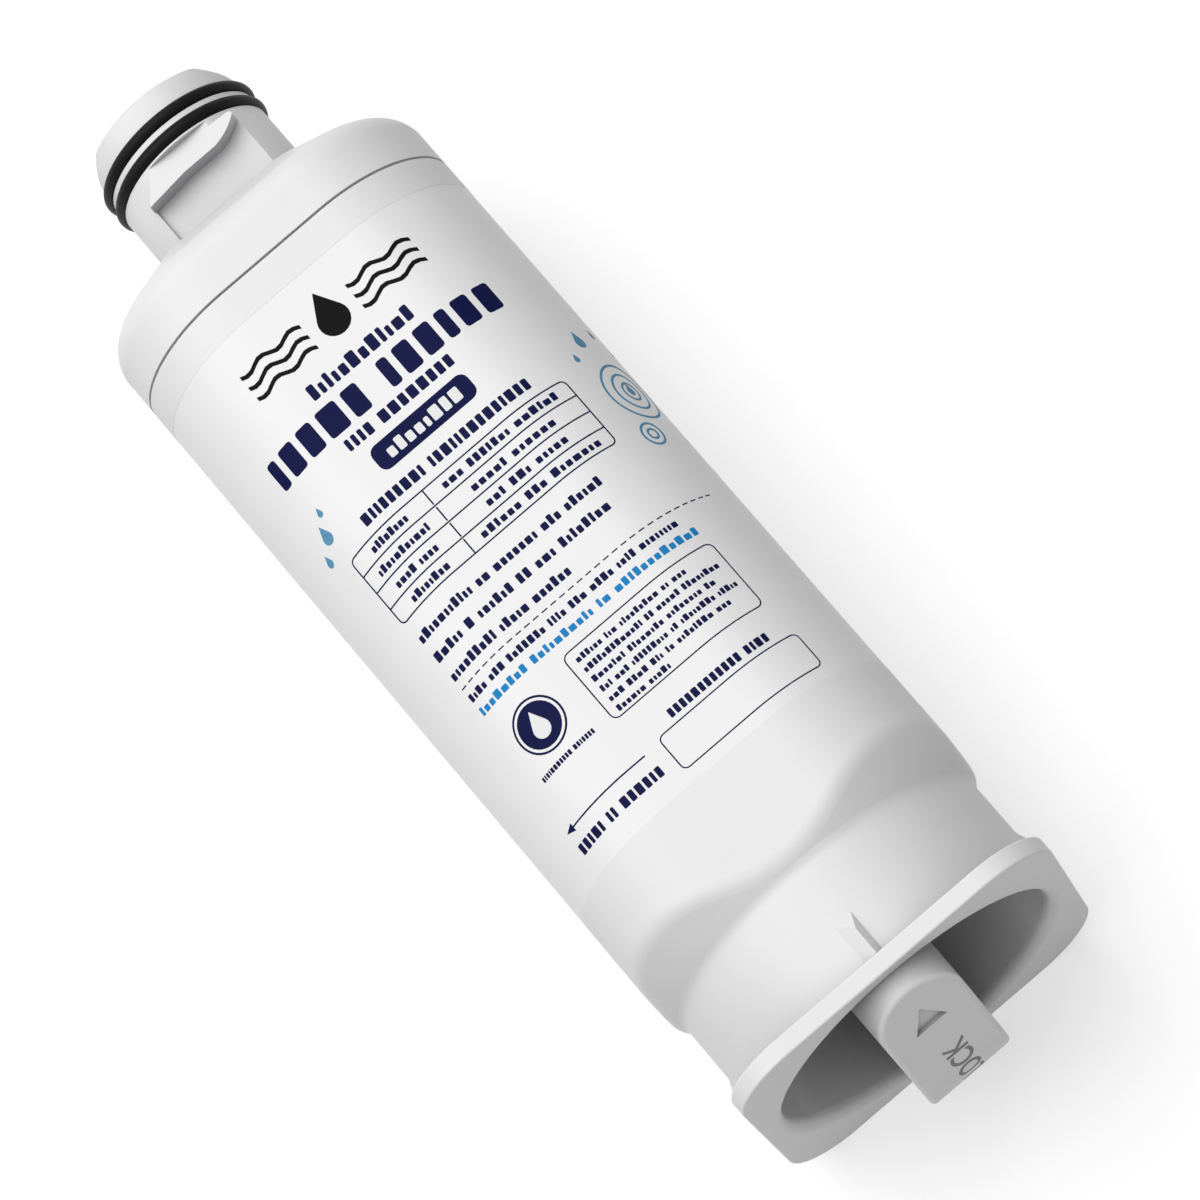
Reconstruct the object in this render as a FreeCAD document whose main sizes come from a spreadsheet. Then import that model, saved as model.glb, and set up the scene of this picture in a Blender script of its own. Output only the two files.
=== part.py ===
import FreeCAD, Part
import math
import operator
import os
from types import SimpleNamespace

import Sketcher
from FreeCAD import Placement, Rotation, Vector

# Twist-in water filter cartridge for a refrigerator.
# Every sub-part is drawn upright: z = 0 at the seam between head and housing, the nozzle up,
# the label's front towards -y. All of them are then laid on the back flat, with the nozzle towards +y.
# Sizes are millimetres, angles are degrees. A depth counts down from the seam, a height counts up from it.

DIMENSIONS = [
    ("half_width", 33.0, "wall: half of the width across its flats"),
    ("corner_radius", 22.0, "wall: radius of its four upright corners"),
    ("housing_wall", 2.6, "housing: wall thickness"),
    ("seam_width", 0.5, "housing: height of the rebate that shows as the seam line"),
    ("seam_depth", 1.7, "housing: depth of that rebate"),
    ("label_start", 6.9, "label seat: depth of its upper edge"),
    ("label_length", 113.3, "label seat: length along the axis"),
    ("label_glue", 0.03, "label film: glue line under it"),
    ("label_thickness", 0.18, "label film: thickness"),
    ("label_sink", 0.04, "label film: how far its face lies below the wall's"),
    ("shoulder_angle", 35.5, "shoulder: slope of its cone from the axis"),
    ("shoulder_round", 4.6, "shoulder: rounding of the wave edge"),
    ("waist_inset", 1.6, "waist: how far it lies in from the wall's flats"),
    ("shoulder_drop", 22.0, "waist: where the shoulder's cone would reach it, below the label"),
    ("waist_round", 3.0, "waist: rounding against the shoulder"),
    ("waist_length", 23.3, "waist: length from there to the flange's end face"),
    ("waist_wall", 3.2, "waist: thickness of its wall round the finger recess"),
    ("flange_thickness", 3.4, "flange: thickness"),
    ("flange_corner", 12.4, "flange: radius of its four corners"),
    ("flange_round", 0.4, "flange: rounding of its rim"),
    ("rib_length", 8.4, "waist rib: length up from the flange"),
    ("rib_ramp", 3.1, "waist rib: length of the ramp at its upper end"),
    ("rib_rise", 1.5, "waist rib: height of its crest over the waist"),
    ("rib_half_base", 1.8, "waist rib: half of its width at the waist"),
    ("rib_crest_shift", 0.65, "waist rib: how far its crest lies to the right of its middle"),
    ("rib_count", 4, "waist rib: how many stand round the waist"),
    ("recess_depth", 23.5, "finger recess: depth from the flange's end face"),
    ("recess_rim_round", 2.2, "finger recess: rounding of its rim"),
    ("recess_floor_round", 8.0, "finger recess: rounding at its floor"),
    ("handle_width", 17.0, "handle: width of the bar"),
    ("handle_root", 0.7, "handle: how far its round ends run into the recess's wall"),
    ("handle_stand", 13.4, "handle: how far its crest stands out from the flange"),
    ("handle_slope", 20.0, "handle: slope of its two end faces"),
    ("handle_crest_round", 13.6, "handle: rounding of the crest"),
    ("handle_edge_round", 1.0, "handle: rounding of its edges"),
    ("mark_place", 24.8, "turning mark: distance of its point from the crest, along the slope"),
    ("mark_height", 5.9, "turning mark: height of the triangle"),
    ("mark_base", 6.5, "turning mark: base of the triangle"),
    ("mark_depth", 0.9, "turning mark: depth of the engraving"),
    ("floor_thickness", 3.5, "housing: thickness of the floor over the finger recess"),
    ("cavity_round", 12.0, "housing: rounding at its inner floor"),
    ("foot_ring_height", 3.0, "housing: height of the ring that centres the lower end cap"),
    ("foot_ring_wall", 2.0, "housing: thickness of that ring"),
    ("head_corner", 10.7, "head: height of its wall before the edge is rounded"),
    ("crown_height", 9.1, "head: rise of the crown from that edge to the neck"),
    ("crown_ledge", 0.05, "head: how far the crown's upper end stands out from the neck"),
    ("crown_corner", 4.5, "head: corner radius of the crown's upper end"),
    ("crown_round", 6.0, "head: rounding between wall and crown"),
    ("crown_wall", 3.6, "head: thickness of the crown, along the axis"),
    ("crown_cavity", 7.5, "head: rise of the hollow under the crown"),
    ("tongue_length", 6.0, "head: length of the tongue that fits in the housing's mouth"),
    ("tongue_wall", 2.0, "head: thickness of the tongue"),
    ("tongue_clearance", 0.15, "head: clearance between the tongue and the mouth"),
    ("neck_radius", 15.45, "nozzle: radius of the neck and of the lands beside the seals"),
    ("tip_step", 0.45, "nozzle: how far the tip lies in from the neck"),
    ("tip_height", 45.8, "nozzle: height of its end face"),
    ("tip_round", 0.5, "nozzle: bevel round its end face"),
    ("tip_slant_start", 10.75, "nozzle: where the slants beside its end face start, from the axis"),
    ("tip_slant", 36.0, "nozzle: angle of those slants from the end face"),
    ("tip_turn", 2.6, "nozzle: how far the slants are turned to the left about the axis"),
    ("seal_setback", 6.05, "nozzle seal: distance of the outer ring from the end face"),
    ("seal_pitch", 3.6, "nozzle seal: distance from the outer to the inner ring"),
    ("seal_stand", 0.9, "nozzle seal: how far it stands out from the neck"),
    ("seal_cord", 2.4, "nozzle seal: diameter of the cord"),
    ("seal_clearance", 0.1, "every seal: clearance in its groove"),
    ("flat_cut", 4.55, "locking pocket: depth of its flat floor below the neck's surface"),
    ("flat_left", 10.2, "locking pocket: how far its floor reaches to the left"),
    ("flat_right", 11.0, "locking pocket: how far its floor reaches to the right"),
    ("lug_cut", 0.8, "locking lug: depth of its face below the neck's surface, at its foot"),
    ("lug_rake", 6.0, "locking lug: lean of its face towards the tip"),
    ("lug_gap", 1.65, "locking lug: distance of its upper edge from the inner seal's middle"),
    ("lug_top_left", 6.2, "locking lug: how far the upper edge reaches to the left"),
    ("lug_top_drop", 1.4, "locking lug: how much lower that edge ends at the right"),
    ("lug_corner", 0.8, "locking lug: rounding of its upper corner at the right"),
    ("lug_ledge_drop", 5.0, "locking lug: drop from there to the level stretch of its ledge"),
    ("lug_ledge_left", 2.0, "locking lug: left end of that level stretch"),
    ("lug_ledge_right", 5.0, "locking lug: right end of that level stretch"),
    ("lug_toe_drop", 6.0, "locking lug: drop from there to its lowest point, at the left"),
    ("lug_toe_left", 10.5, "locking lug: how far that point reaches to the left"),
    ("lug_end_drop", 2.2, "locking lug: drop from there to the end of its cam, at the right"),
    ("lug_end_right", 10.9, "locking lug: how far it reaches to the right"),
    ("lug_cam_radius", 12.0, "locking lug: radius of the ledge's curve"),
    ("outlet_radius", 4.0, "water ways: radius of the outlet bore"),
    ("outlet_lead_in", 0.8, "water ways: bevel at the mouth of the outlet bore"),
    ("inlet_wall", 1.6, "water ways: wall between the socket and the two curved inlet slots"),
    ("inlet_width", 3.2, "water ways: width of those slots"),
    ("inlet_spread", 50.0, "water ways: half of the angle that each slot spans"),
    ("inlet_runout", 1.0, "water ways: how far those slots run on below the hollow's ceiling"),
    ("socket_radius", 6.0, "outlet socket: radius of the bore that takes the spigot"),
    ("socket_wall", 2.0, "outlet socket: wall of the tube"),
    ("socket_drop", 2.0, "outlet socket: depth of the tube's lower end"),
    ("socket_top", 18.0, "outlet socket: height at which its bore ends"),
    ("foot_radius", 14.0, "lower end cap: radius of its foot"),
    ("foot_height", 5.0, "lower end cap: height of its foot"),
    ("foot_clearance", 0.25, "lower end cap: clearance of the foot in its ring"),
    ("lower_cap_thickness", 3.0, "lower end cap: thickness of its plate"),
    ("upper_cap_thickness", 2.5, "upper end cap: thickness of its plate"),
    ("cap_rim_height", 6.0, "end caps: height of the rim round the block"),
    ("cap_rim_wall", 1.5, "end caps: thickness of that rim"),
    ("cap_clearance", 0.1, "end caps: clearance between rim and fleece"),
    ("cap_gap", 1.65, "end caps: water gap between them and the head's tongue"),
    ("cap_drop", 3.5, "upper end cap: distance of its plate from the outlet socket's lower end"),
    ("spigot_height", 14.0, "upper end cap: height of the spigot over its plate"),
    ("spigot_clearance", 0.25, "upper end cap: clearance of the spigot in its socket"),
    ("spigot_bore", 2.8, "upper end cap: radius of the bore through the spigot"),
    ("spigot_seal_cord", 1.6, "spigot seals: diameter of the cord"),
    ("spigot_seal_place", 8.0, "spigot seals: height of the lower one over the plate"),
    ("spigot_seal_pitch", 3.4, "spigot seals: distance between the two"),
    ("block_bore", 8.0, "carbon block: radius of its bore"),
    ("fleece_thickness", 0.9, "prefilter fleece: thickness"),
    ("fleece_clearance", 0.1, "prefilter fleece: clearance on the block and at its ends"),
    ("overshoot", 2.0, "how far a cut runs out past what it cuts"),
]

doc = FreeCAD.newDocument("filter_cartridge")
sheet = doc.addObject("Spreadsheet::Sheet", "dims")


# Sizes

class Size:
    """A size with its value and the sheet expression that it is bound by."""

    def __init__(self, value, text):
        self.value = value
        self.text = text

    def __add__(self, other):
        return combine(self, "+", other)

    def __sub__(self, other):
        return combine(self, "-", other)

    def __mul__(self, other):
        return combine(self, "*", other)

    def __truediv__(self, other):
        return combine(self, "/", other)

    def __neg__(self):
        return Size(-self.value, f"(0 - {self.text})")


OPERATIONS = {"+": operator.add, "-": operator.sub, "*": operator.mul, "/": operator.truediv}
NOTHING = Size(0.0, "0")
FULL_TURN = Size(360.0, "360")
QUARTER_TURN = 90
DIAGONAL_OF_SQUARE = math.sqrt(2)
OPPOSITE_SIDES = 2
SAME_PLACE = 1e-4
LEAST_VOLUME = 1e-6


def as_size(number):
    return number if isinstance(number, Size) else Size(float(number), repr(number))


def combine(left, sign, right):
    left, right = as_size(left), as_size(right)
    return Size(OPERATIONS[sign](left.value, right.value), f"({left.text} {sign} {right.text})")


def tan(angle):
    return Size(math.tan(math.radians(angle.value)), f"tan({angle.text})")


def sin(angle):
    return Size(math.sin(math.radians(angle.value)), f"sin({angle.text})")


def cos(angle):
    return Size(math.cos(math.radians(angle.value)), f"cos({angle.text})")


def smaller(first, second):
    return Size(min(first.value, second.value), f"min({first.text}; {second.text})")


def fill_sheet():
    sizes = {}
    for row, (alias, number, meaning) in enumerate(DIMENSIONS, start=1):
        sheet.set(f"A{row}", alias)
        sheet.set(f"B{row}", str(number))
        sheet.setAlias(f"B{row}", alias)
        sheet.set(f"C{row}", meaning)
        sizes[alias] = Size(float(number), f"dims.{alias}")
    doc.recompute()
    return SimpleNamespace(**sizes)


d = fill_sheet()

# Wall, label and waist
mouth_half = d.half_width - d.housing_wall
mouth_corner = d.corner_radius - d.housing_wall
label_seat_depth = d.label_sink + d.label_thickness + d.label_glue
waist_radius = d.half_width - d.waist_inset
waist_depth = d.label_start + d.label_length + d.shoulder_drop
flange_depth = waist_depth + d.waist_length
flange_top = flange_depth - d.flange_thickness
rib_depth = flange_top - d.rib_length
recess_radius = waist_radius - d.waist_wall
recess_floor = flange_depth - d.recess_depth
handle_reach = recess_radius + d.handle_root
handle_depth = flange_depth + d.handle_stand
cavity_depth = recess_floor - d.floor_thickness
corner_reach = (d.half_width - d.corner_radius) * DIAGONAL_OF_SQUARE + d.corner_radius

# Head and nozzle
tongue_inset = d.housing_wall + d.tongue_clearance
head_inset = tongue_inset + d.tongue_wall
crown_inset = d.half_width - d.neck_radius - d.crown_ledge
crown_run = crown_inset / d.crown_height
crown_taper = (d.corner_radius - d.crown_corner) / crown_inset
hollow_turn = d.head_corner + head_inset / crown_run - d.crown_wall
hollow_ceiling = hollow_turn + d.crown_cavity
tip_radius = d.neck_radius - d.tip_step
seal_radius = d.neck_radius + d.seal_stand
seal_height = d.tip_height - d.seal_setback
inner_seal_height = seal_height - d.seal_pitch
flat_distance = d.neck_radius - d.flat_cut
lug_face = d.neck_radius - d.lug_cut
lug_top = inner_seal_height - d.lug_gap
lug_ledge = lug_top - d.lug_ledge_drop
lug_toe = lug_top - d.lug_toe_drop
lug_end = lug_top - d.lug_end_drop
lug_top_right = lug_top - d.lug_top_drop
lug_round = smaller(d.lug_corner, d.lug_end_drop - d.lug_top_drop)
inlet_inner = d.socket_radius + d.inlet_wall
inlet_outer = inlet_inner + d.inlet_width

# Filter element, from the head's tongue inwards and from the housing's floor to the outlet socket
cap_radius = d.half_width - head_inset - d.cap_gap
cap_bore = cap_radius - d.cap_rim_wall
fleece_radius = cap_bore - d.cap_clearance
fleece_bore = fleece_radius - d.fleece_thickness
block_radius = fleece_bore - d.fleece_clearance
block_depth = cavity_depth - d.foot_height - d.lower_cap_thickness
plate_depth = d.socket_drop + d.cap_drop
block_length = block_depth - plate_depth - d.upper_cap_thickness
spigot_radius = d.socket_radius - d.spigot_clearance
spigot_seal_radius = d.socket_radius - d.seal_clearance

# The whole cartridge lies with the middle of its length at the origin
middle = (handle_depth - d.tip_height) / 2


# Sketches

def plane_of(body, role):
    return next(plane for plane in body.Origin.OriginFeatures if plane.Role == role)


def sketch_on(body, name, role, rise=None):
    """A sketch on one of the body's own planes, raised along the plane's normal."""
    sketch = body.newObject("Sketcher::SketchObject", name)
    sketch.AttachmentSupport = [(plane_of(body, role), "")]
    sketch.MapMode = "FlatFace"
    if rise is not None:
        sketch.setExpression("AttachmentOffset.Base.z", rise.text)
    return sketch


def bind_last(sketch, constraint, size):
    index = sketch.addConstraint(constraint)
    sketch.setExpression(f"Constraints[{index}]", size.text)


def arc_between(start, end, radius, turn):
    """The shorter arc from start to end, turning left (+1) or right (-1)."""
    chord = end - start
    rise = math.sqrt(max(radius ** 2 - chord.Length ** 2 / 4, 0.0))
    side = Vector(-chord.y, chord.x, 0).normalize() * (rise * turn)
    centre = (start + end) / 2 + side
    first, last = (start, end) if turn > 0 else (end, start)
    angles = [math.atan2(point.y - centre.y, point.x - centre.x) for point in (first, last)]
    return Part.ArcOfCircle(Part.Circle(centre, Vector(0, 0, 1), radius), *angles)


def outline(sketch, corners, arcs=None):
    """A closed profile through its corners. arcs holds, for a side's number, its radius and its turn.

    A side whose two ends meet isn't drawn.
    """
    arcs = arcs or {}
    points = [Vector(as_size(x).value, as_size(y).value, 0) for x, y in corners]
    far_points = points[1:] + points[:1]
    lengths = [start.distanceToPoint(end) for start, end in zip(points, far_points)]
    sides = [side for side, length in enumerate(lengths) if length > SAME_PLACE]
    # An arc that turns right is stored from its far end, so its two end numbers change places.
    ends = [(2, 1) if arcs.get(side, (None, 1))[1] < 0 else (1, 2) for side in range(len(points))]
    drawn = {}
    for side in sides:
        if side in arcs:
            radius, turn = arcs[side]
            shape = arc_between(points[side], far_points[side], radius.value, turn)
        else:
            shape = Part.LineSegment(points[side], far_points[side])
        drawn[side] = sketch.addGeometry(shape)
    for side, follower in zip(sides, sides[1:] + sides[:1]):
        sketch.addConstraint(Sketcher.Constraint(
            "Coincident", drawn[side], ends[side][1], drawn[follower], ends[follower][0]))
    for side in sides:
        for kind, place in zip(("DistanceX", "DistanceY"), corners[side]):
            size = as_size(place)
            bind_last(sketch, Sketcher.Constraint(kind, -1, 1, drawn[side], ends[side][0], size.value), size)
        if side in arcs:
            radius, _turn = arcs[side]
            bind_last(sketch, Sketcher.Constraint("Radius", drawn[side], radius.value), radius)


def rounded_square(sketch, half, radius):
    flat = half - radius
    corners = [(-flat, -half), (flat, -half), (half, -flat), (half, flat),
               (flat, half), (-flat, half), (-half, flat), (-half, -flat)]
    outline(sketch, corners, {side: (radius, 1) for side in range(1, len(corners), 2)})


def circle(sketch, radius):
    index = sketch.addGeometry(Part.Circle(Vector(), Vector(0, 0, 1), radius.value))
    sketch.addConstraint(Sketcher.Constraint("Coincident", index, 3, -1, 1))
    bind_last(sketch, Sketcher.Constraint("Radius", index, radius.value), radius)


# Features

GROWS = {"Pad": 1, "Revolution": 1, "AdditiveLoft": 1, "Pocket": -1, "Groove": -1, "SubtractiveLoft": -1}


def new_body(label):
    body = doc.addObject("PartDesign::Body", label)
    body.Label = label
    return body


def volume_of(body):
    return 0.0 if body.Shape.isNull() else body.Shape.Volume


def add(body, kind, name, sketch, **settings):
    """Add a feature from a sketch, bind its sizes and make sure that it grew or cut the solid."""
    before = volume_of(body)
    feature = body.newObject(f"PartDesign::{kind}", name)
    feature.Profile = sketch
    for key, setting in settings.items():
        if isinstance(setting, Size):
            feature.setExpression(key, setting.text)
        else:
            setattr(feature, key, setting)
    doc.recompute()
    if (volume_of(body) - before) * GROWS[kind] < LEAST_VOLUME:
        raise RuntimeError(f"{name} changes nothing on {body.Label}")
    return feature


def revolve(body, kind, name, corners, arcs=None):
    sketch = sketch_on(body, f"{name}_profile", "XZ_Plane")
    outline(sketch, corners, arcs)
    return add(body, kind, name, sketch, ReferenceAxis=(sketch, ["V_Axis"]), Angle=FULL_TURN)


def repeat_round(body, name, originals, count):
    before = volume_of(body)
    pattern = body.newObject("PartDesign::PolarPattern", name)
    pattern.Originals = originals
    pattern.Axis = (plane_of(body, "Z_Axis"), [""])
    pattern.setExpression("Angle", FULL_TURN.text)
    pattern.setExpression("Occurrences", as_size(count).text)
    body.Tip = pattern
    doc.recompute()
    if abs(volume_of(body) - before) < LEAST_VOLUME:
        raise RuntimeError(f"{name} changes nothing on {body.Label}")
    return pattern


def round_edges(body, name, radius, chosen):
    """Round the edges of the body's last feature whose middle point passes the test."""
    base = body.Tip
    names = []
    for number, edge in enumerate(base.Shape.Edges, start=1):
        middle_point = edge.valueAt((edge.FirstParameter + edge.LastParameter) / 2)
        if chosen(edge, middle_point):
            names.append(f"Edge{number}")
    fillet = body.newObject("PartDesign::Fillet", name)
    fillet.Base = (base, names)
    fillet.setExpression("Radius", radius.text)
    doc.recompute()
    return fillet


def is_near(first, second):
    return abs(first - second) < SAME_PLACE


def is_level(edge, height):
    return is_near(edge.BoundBox.ZMin, height) and is_near(edge.BoundBox.ZMax, height)


def is_round_about_axis(edge):
    centre = getattr(edge.Curve, "Center", None)
    return centre is not None and is_near(math.hypot(centre.x, centre.y), 0.0)


def lay_down(piece, height=NOTHING):
    """Turn a piece from the upright drawing onto the back flat, height above the seam along the axis."""
    piece.Placement = Placement(Vector(), Rotation(Vector(1, 0, 0), -QUARTER_TURN))
    piece.setExpression("Placement.Base.y", (middle + height).text)
    piece.setExpression("Placement.Base.z", d.half_width.text)


# Housing: sump wall, wave shoulder, waist, flange, finger recess and handle in one moulding

def make_housing():
    body = new_body("housing")
    section = sketch_on(body, "wall_section", "XY_Plane")
    rounded_square(section, d.half_width, d.corner_radius)
    add(body, "Pad", "wall", section, Length=flange_top, Reversed=True)
    hollow_housing(body)
    cut_waist(body)
    add_flange(body)
    add_ribs(body)
    cut_finger_recess(body)
    add_handle(body)
    cut_seam_and_label_seat(body)
    lay_down(body)
    return body


def hollow_housing(body):
    mouth = sketch_on(body, "mouth_section", "XY_Plane")
    rounded_square(mouth, mouth_half, mouth_corner)
    add(body, "Pocket", "cavity", mouth, Length=cavity_depth)

    def on_floor(edge, _point):
        return is_level(edge, -cavity_depth.value)

    round_edges(body, "cavity_floor", d.cavity_round, on_floor)
    ring = sketch_on(body, "foot_ring_section", "XY_Plane", -cavity_depth)
    circle(ring, d.foot_radius + d.foot_clearance + d.foot_ring_wall)
    circle(ring, d.foot_radius + d.foot_clearance)
    add(body, "Pad", "foot_ring", ring, Length=d.foot_ring_height)


def cut_waist(body):
    """A cone cuts the rounded-square wall, so that the shoulder's edge runs in waves to the round waist."""
    reach = corner_reach + d.overshoot
    tangent = d.waist_round * tan(d.shoulder_angle / 2)
    corners = [
        (waist_radius, -(waist_depth + tangent)),
        (waist_radius + tangent * sin(d.shoulder_angle), tangent * cos(d.shoulder_angle) - waist_depth),
        (reach, (reach - waist_radius) / tan(d.shoulder_angle) - waist_depth),
        (reach, -(flange_top + d.overshoot)),
        (waist_radius, -(flange_top + d.overshoot)),
    ]
    revolve(body, "Groove", "waist", corners, {0: (d.waist_round, -1)})

    def on_wave(edge, point):
        on_wall = math.hypot(point.x, point.y) > waist_radius.value
        straight_or_round = isinstance(edge.Curve, (Part.Line, Part.Circle))
        return on_wall and not straight_or_round

    round_edges(body, "shoulder_edge", d.shoulder_round, on_wave)


def add_flange(body):
    section = sketch_on(body, "flange_section", "XY_Plane", -flange_depth)
    rounded_square(section, d.half_width, d.flange_corner)
    add(body, "Pad", "flange", section, Length=d.flange_thickness)

    def on_rim(edge, _point):
        on_a_face = is_level(edge, -flange_depth.value) or is_level(edge, -flange_top.value)
        return on_a_face and not is_round_about_axis(edge)

    round_edges(body, "flange_rim", d.flange_round, on_rim)


def add_ribs(body):
    """Small ribs with a sharp crest, which run from a ramp down to the flange."""
    crest = waist_radius + d.rib_rise
    root = waist_radius - d.rib_rise
    spread = (crest - root) / d.rib_rise
    left_root = d.rib_crest_shift - (d.rib_half_base + d.rib_crest_shift) * spread
    right_root = d.rib_crest_shift + (d.rib_half_base - d.rib_crest_shift) * spread
    section = sketch_on(body, "rib_section", "XY_Plane", -flange_top)
    outline(section, [(left_root, -root), (right_root, -root), (d.rib_crest_shift, -crest)])
    rib = add(body, "Pad", "rib", section, Length=flange_top - rib_depth)
    side = sketch_on(body, "rib_ramp_side", "YZ_Plane")
    ramp_out = d.rib_ramp * (d.overshoot / d.rib_rise + 1)
    outline(side, [(-waist_radius, -rib_depth), (-(crest + d.overshoot), -(rib_depth + ramp_out)),
                   (-(crest + d.overshoot), -rib_depth)])
    ramp = add(body, "Pocket", "rib_ramp_cut", side, Length=-(left_root * 2), SideType="Symmetric")
    repeat_round(body, "ribs", [rib, ramp], d.rib_count)


def cut_finger_recess(body):
    rim = recess_radius + d.recess_rim_round
    floor_edge = recess_radius - d.recess_floor_round
    corners = [
        (NOTHING, -(flange_depth + d.overshoot)),
        (rim, -(flange_depth + d.overshoot)),
        (rim, -flange_depth),
        (recess_radius, d.recess_rim_round - flange_depth),
        (recess_radius, -(recess_floor + d.recess_floor_round)),
        (floor_edge, -recess_floor),
        (NOTHING, -recess_floor),
    ]
    revolve(body, "Groove", "finger_recess", corners,
            {2: (d.recess_rim_round, -1), 4: (d.recess_floor_round, 1)})


def add_handle(body):
    """A bar across the recess with round ends, and two sloping end faces that meet in a rounded crest."""
    half = d.handle_width / 2
    straight = handle_reach - half
    section = sketch_on(body, "handle_section", "XY_Plane", -(recess_floor - d.overshoot))
    corners = [(half, -straight), (half, straight), (NOTHING, handle_reach),
               (-half, straight), (-half, -straight), (NOTHING, -handle_reach)]
    outline(section, corners, {side: (half, 1) for side in (1, 2, 4, 5)})
    length = handle_depth - recess_floor + d.overshoot
    add(body, "Pad", "handle", section, Length=length, Reversed=True)

    out = handle_reach + d.overshoot
    sharp_crest = handle_depth + d.handle_crest_round / cos(d.handle_slope) - d.handle_crest_round
    foot = -(sharp_crest - out * tan(d.handle_slope))
    bend = d.handle_crest_round * sin(d.handle_slope)
    bend_depth = -(handle_depth - d.handle_crest_round + d.handle_crest_round * cos(d.handle_slope))
    below = -(handle_depth + d.overshoot)
    side = sketch_on(body, "handle_side", "YZ_Plane")
    profile = [(-out, foot), (-bend, bend_depth), (bend, bend_depth), (out, foot), (out, below),
               (-out, below)]
    outline(side, profile, {1: (d.handle_crest_round, 1)})
    add(body, "Pocket", "handle_slopes", side, Length=d.handle_width * 2, SideType="Symmetric")

    def on_slope_edge(edge, point):
        beyond = max(abs(point.y) - straight.value, 0.0)
        on_side = is_near(math.hypot(point.x, beyond), half.value)
        upright = is_near(abs(edge.tangentAt((edge.FirstParameter + edge.LastParameter) / 2).z), 1.0)
        return on_side and not upright and point.z < -flange_depth.value - d.flange_round.value

    round_edges(body, "handle_edges", d.handle_edge_round, on_slope_edge)

    mark = sketch_on(body, "turning_mark", "XY_Plane", -sharp_crest)
    mark.AttachmentOffset = Placement(Vector(), Rotation(Vector(1, 0, 0), -d.handle_slope.value))
    mark.setExpression("AttachmentOffset.Rotation.Angle", (-d.handle_slope).text)
    base = d.mark_height - d.mark_place
    outline(mark, [(NOTHING, -d.mark_place), (d.mark_base / 2, base), (-(d.mark_base / 2), base)])
    add(body, "Pocket", "turning_mark_cut", mark, Length=d.mark_depth, Reversed=True)


def cut_seam_and_label_seat(body):
    for name, depth, sunk, length in (("seam", NOTHING, d.seam_depth, d.seam_width),
                                      ("label_seat", d.label_start, label_seat_depth, d.label_length)):
        section = sketch_on(body, f"{name}_section", "XY_Plane", -depth)
        rounded_square(section, d.half_width + d.overshoot, d.corner_radius + d.overshoot)
        rounded_square(section, d.half_width - sunk, d.corner_radius - sunk)
        add(body, "Pocket", name, section, Length=length)


# Head: wall, crown, nozzle with its seal grooves, locking pockets and water ways in one moulding

def make_head_cap():
    body = new_body("head_cap")
    section = sketch_on(body, "head_section", "XY_Plane")
    rounded_square(section, d.half_width, d.corner_radius)
    add(body, "Pad", "head_wall", section, Length=d.head_corner)
    narrow(body, "AdditiveLoft", "crown", d.head_corner, d.crown_height, NOTHING)

    def on_crown_edge(edge, _point):
        return is_level(edge, d.head_corner.value)

    round_edges(body, "crown_edge", d.crown_round, on_crown_edge)
    add_nozzle(body)
    add_locking_pockets(body)
    cut_tip_slants(body)
    add_tongue(body)
    hollow_head(body)
    cut_water_ways(body)
    lay_down(body)
    return body


def narrow(body, kind, name, height, rise, inset):
    """A rounded-square frustum with the crown's slope, from a section that lies inset from the wall."""
    sections = []
    for place, level, inward in (("foot", height, inset), ("top", height + rise, inset + rise * crown_run)):
        section = sketch_on(body, f"{name}_{place}", "XY_Plane", level)
        rounded_square(section, d.half_width - inward, d.corner_radius - inward * crown_taper)
        sections.append(section)
    add(body, kind, name, sections[0], Sections=sections[1:], Ruled=True)


def add_nozzle(body):
    """The nozzle's profile runs up the neck, past the two seal grooves and over the tip."""
    floor = seal_radius - d.seal_cord - d.seal_clearance
    half = d.seal_cord / 2 + d.seal_clearance
    corners = [(NOTHING, d.head_corner), (d.neck_radius, d.head_corner)]
    for height in (inner_seal_height, seal_height):
        land = d.neck_radius if height is inner_seal_height else tip_radius
        corners += [(d.neck_radius, height - half), (floor, height - half), (floor, height + half),
                    (land, height + half)]
    corners += [(tip_radius, d.tip_height - d.tip_round), (tip_radius - d.tip_round, d.tip_height),
                (NOTHING, d.tip_height)]
    revolve(body, "Revolution", "nozzle", corners)


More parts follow.
